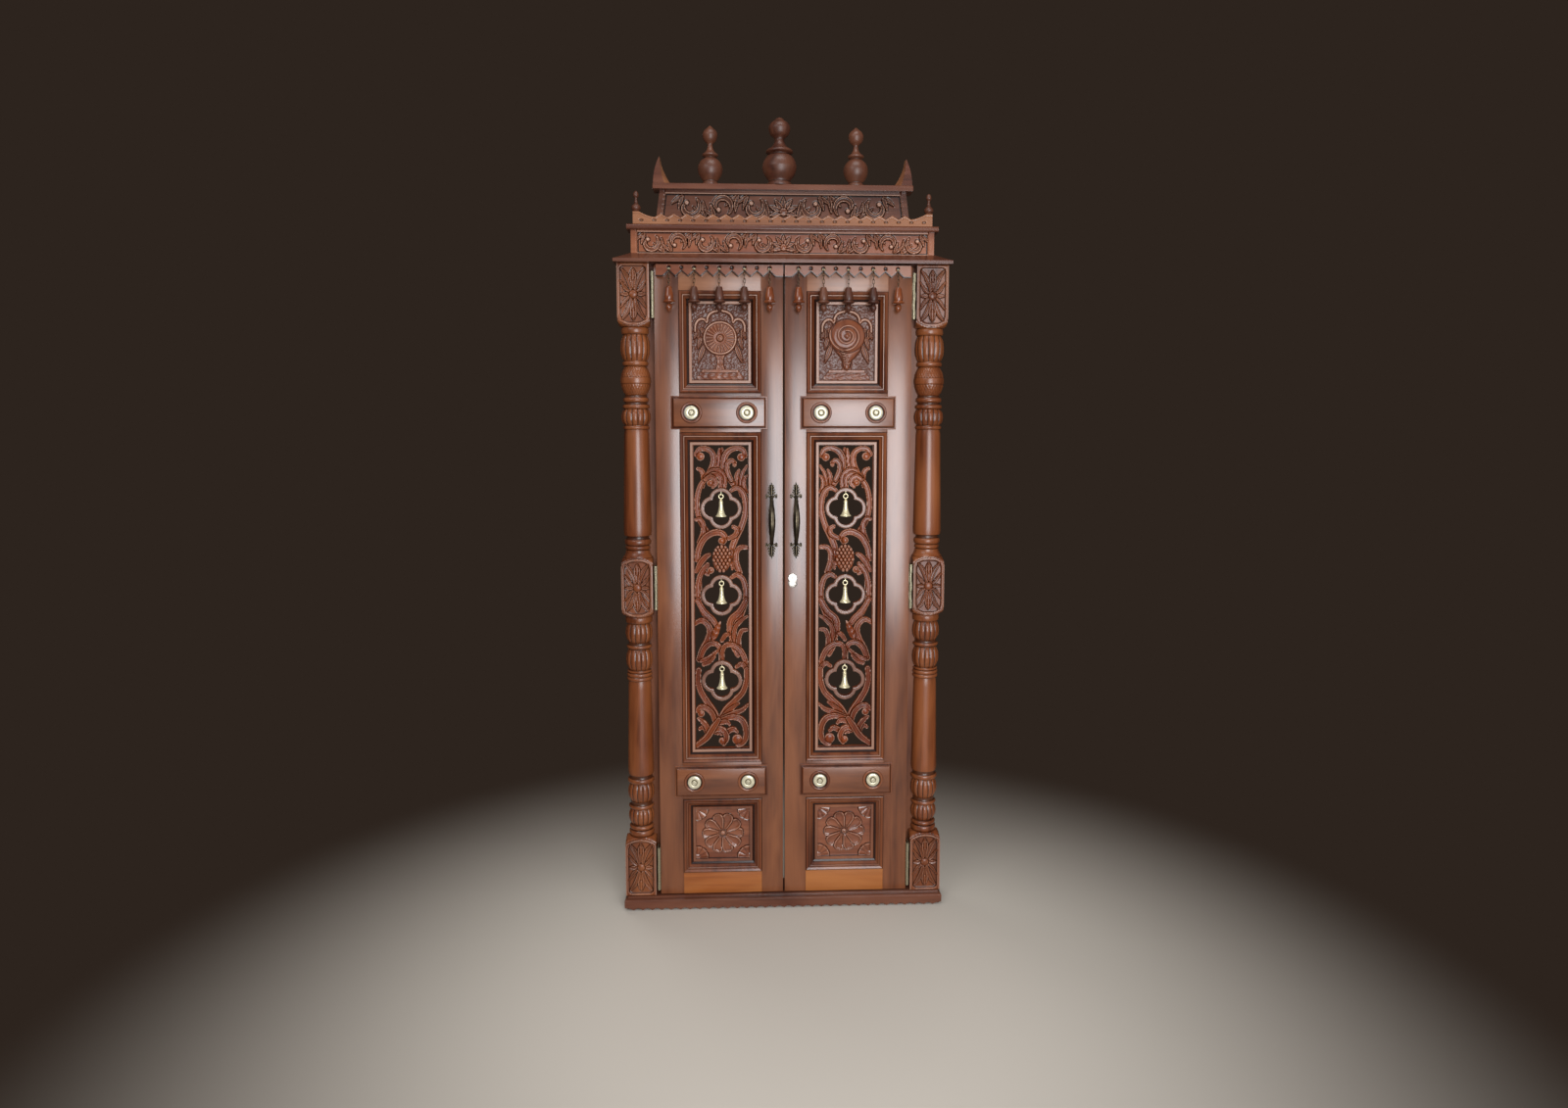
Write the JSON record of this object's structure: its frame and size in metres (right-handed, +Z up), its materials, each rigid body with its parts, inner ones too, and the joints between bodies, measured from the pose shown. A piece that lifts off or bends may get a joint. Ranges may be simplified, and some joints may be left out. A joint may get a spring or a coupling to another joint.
{
  "type": "carved temple door",
  "caption": "Carved wooden double door in its own frame, with turned posts, pierced jali panels, hanging bells and drops, brass handles and a finial crest.",
  "frame": {"origin": "middle of the threshold's underside, under the leaves' shared stop plane", "axes": "+Z up the door, -Y out of the carved side towards someone who opens it, +X to that person's right"},
  "size_m": [0.89, 0.1226, 2.1445],
  "materials": {
    "frame_teak": "varnished",
    "leaf_teak": "varnished",
    "turned_teak": "gloss varnish",
    "carved_teak": "varnished",
    "moulding_teak": "varnished",
    "pale_teak": "varnished",
    "pale_brass": "polished",
    "hinge_brass": "satin",
    "dark_brass": "antique",
    "lock_chrome": "polished"
  },
  "bodies": {
    "frame": {"threshold": "frame_teak", "jambs": "frame_teak", "head_rail": "frame_teak", "right_post": "turned_teak", "left_post": "turned_teak", "eave": "carved_teak", "lower_frieze": "carved_teak", "shelf": "carved_teak", "cresting": "carved_teak", "upper_frieze": "carved_teak", "top_plate": "carved_teak", "horns": "pale_teak", "centre_finial": "turned_teak", "side_finials": "turned_teak", "corner_finials": "turned_teak", "frame_hinge_plates": "hinge_brass"},
    "right_leaf": {"right_hinge_stile": "leaf_teak", "right_meeting_stile": "leaf_teak", "right_rails": "leaf_teak", "right_jali": "carved_teak", "right_bottom_panel": "carved_teak", "right_top_panel": "carved_teak", "right_panel_mouldings": "moulding_teak", "right_raised_blocks": "leaf_teak", "right_roundels": "pale_brass", "right_valance": "leaf_teak", "right_hooks": "pale_brass", "right_handle": "dark_brass", "right_hinge_plates": "hinge_brass", "lock_cylinder": "lock_chrome"},
    "left_leaf": {"left_hinge_stile": "leaf_teak", "left_meeting_stile": "leaf_teak", "left_rails": "leaf_teak", "left_jali": "carved_teak", "left_bottom_panel": "carved_teak", "left_top_panel": "carved_teak", "left_panel_mouldings": "moulding_teak", "left_raised_blocks": "leaf_teak", "left_roundels": "pale_brass", "left_valance": "leaf_teak", "left_hooks": "pale_brass", "left_handle": "dark_brass", "left_hinge_plates": "hinge_brass"},
    "right_drop_1": {"right_drop_1": "turned_teak"},
    "right_drop_2": {"right_drop_2": "turned_teak"},
    "right_drop_3": {"right_drop_3": "turned_teak"},
    "right_drop_4": {"right_drop_4": "turned_teak"},
    "right_drop_5": {"right_drop_5": "turned_teak"},
    "right_bell_1": {"right_bell_1": "pale_brass"},
    "right_bell_2": {"right_bell_2": "pale_brass"},
    "right_bell_3": {"right_bell_3": "pale_brass"},
    "left_drop_1": {"left_drop_1": "turned_teak"},
    "left_drop_2": {"left_drop_2": "turned_teak"},
    "left_drop_3": {"left_drop_3": "turned_teak"},
    "left_drop_4": {"left_drop_4": "turned_teak"},
    "left_drop_5": {"left_drop_5": "turned_teak"},
    "left_bell_1": {"left_bell_1": "pale_brass"},
    "left_bell_2": {"left_bell_2": "pale_brass"},
    "left_bell_3": {"left_bell_3": "pale_brass"},
    "lock_plug": {"lock_plug": "lock_chrome"}
  },
  "joints": [
    {"name": "right_leaf_hinge", "type": "hinge", "parent": "frame", "child": "right_leaf", "pos_m": [0.346, -0.04, 0.8965], "axis": [0, 0, 1], "range_deg": [0, 95]},
    {"name": "left_leaf_hinge", "type": "hinge", "parent": "frame", "child": "left_leaf", "pos_m": [-0.346, -0.04, 0.8965], "axis": [0, 0, -1], "range_deg": [0, 95]},
    {"name": "right_drop_1_swing", "type": "hinge", "parent": "right_leaf", "child": "right_drop_1", "pos_m": [0.038, -0.0574, 1.7405], "axis": [-1, 0, 0], "range_deg": [-2, 30]},
    {"name": "right_drop_2_swing", "type": "hinge", "parent": "right_leaf", "child": "right_drop_2", "pos_m": [0.1038, -0.0574, 1.7405], "axis": [-1, 0, 0], "range_deg": [-2, 30]},
    {"name": "right_drop_3_swing", "type": "hinge", "parent": "right_leaf", "child": "right_drop_3", "pos_m": [0.1696, -0.0574, 1.7405], "axis": [-1, 0, 0], "range_deg": [-2, 30]},
    {"name": "right_drop_4_swing", "type": "hinge", "parent": "right_leaf", "child": "right_drop_4", "pos_m": [0.2354, -0.0574, 1.7405], "axis": [-1, 0, 0], "range_deg": [-2, 30]},
    {"name": "right_drop_5_swing", "type": "hinge", "parent": "right_leaf", "child": "right_drop_5", "pos_m": [0.3012, -0.0574, 1.7405], "axis": [-1, 0, 0], "range_deg": [-2, 30]},
    {"name": "right_bell_1_swing", "type": "hinge", "parent": "right_leaf", "child": "right_bell_1", "pos_m": [0.1695, -0.016, 0.6698], "axis": [0, 1, 0], "range_deg": [-20, 20]},
    {"name": "right_bell_2_swing", "type": "hinge", "parent": "right_leaf", "child": "right_bell_2", "pos_m": [0.1695, -0.016, 0.9078], "axis": [0, 1, 0], "range_deg": [-20, 20]},
    {"name": "right_bell_3_swing", "type": "hinge", "parent": "right_leaf", "child": "right_bell_3", "pos_m": [0.1695, -0.016, 1.1458], "axis": [0, 1, 0], "range_deg": [-20, 20]},
    {"name": "left_drop_1_swing", "type": "hinge", "parent": "left_leaf", "child": "left_drop_1", "pos_m": [-0.038, -0.0574, 1.7405], "axis": [-1, 0, 0], "range_deg": [-2, 30]},
    {"name": "left_drop_2_swing", "type": "hinge", "parent": "left_leaf", "child": "left_drop_2", "pos_m": [-0.1038, -0.0574, 1.7405], "axis": [-1, 0, 0], "range_deg": [-2, 30]},
    {"name": "left_drop_3_swing", "type": "hinge", "parent": "left_leaf", "child": "left_drop_3", "pos_m": [-0.1696, -0.0574, 1.7405], "axis": [-1, 0, 0], "range_deg": [-2, 30]},
    {"name": "left_drop_4_swing", "type": "hinge", "parent": "left_leaf", "child": "left_drop_4", "pos_m": [-0.2354, -0.0574, 1.7405], "axis": [-1, 0, 0], "range_deg": [-2, 30]},
    {"name": "left_drop_5_swing", "type": "hinge", "parent": "left_leaf", "child": "left_drop_5", "pos_m": [-0.3012, -0.0574, 1.7405], "axis": [-1, 0, 0], "range_deg": [-2, 30]},
    {"name": "left_bell_1_swing", "type": "hinge", "parent": "left_leaf", "child": "left_bell_1", "pos_m": [-0.1695, -0.016, 0.6698], "axis": [0, 1, 0], "range_deg": [-20, 20]},
    {"name": "left_bell_2_swing", "type": "hinge", "parent": "left_leaf", "child": "left_bell_2", "pos_m": [-0.1695, -0.016, 0.9078], "axis": [0, 1, 0], "range_deg": [-20, 20]},
    {"name": "left_bell_3_swing", "type": "hinge", "parent": "left_leaf", "child": "left_bell_3", "pos_m": [-0.1695, -0.016, 1.1458], "axis": [0, 1, 0], "range_deg": [-20, 20]},
    {"name": "lock_turn", "type": "hinge", "parent": "right_leaf", "child": "lock_plug", "pos_m": [0.024, -0.036, 0.9215], "axis": [0, 1, 0], "range_deg": [0, 90]}
  ]
}
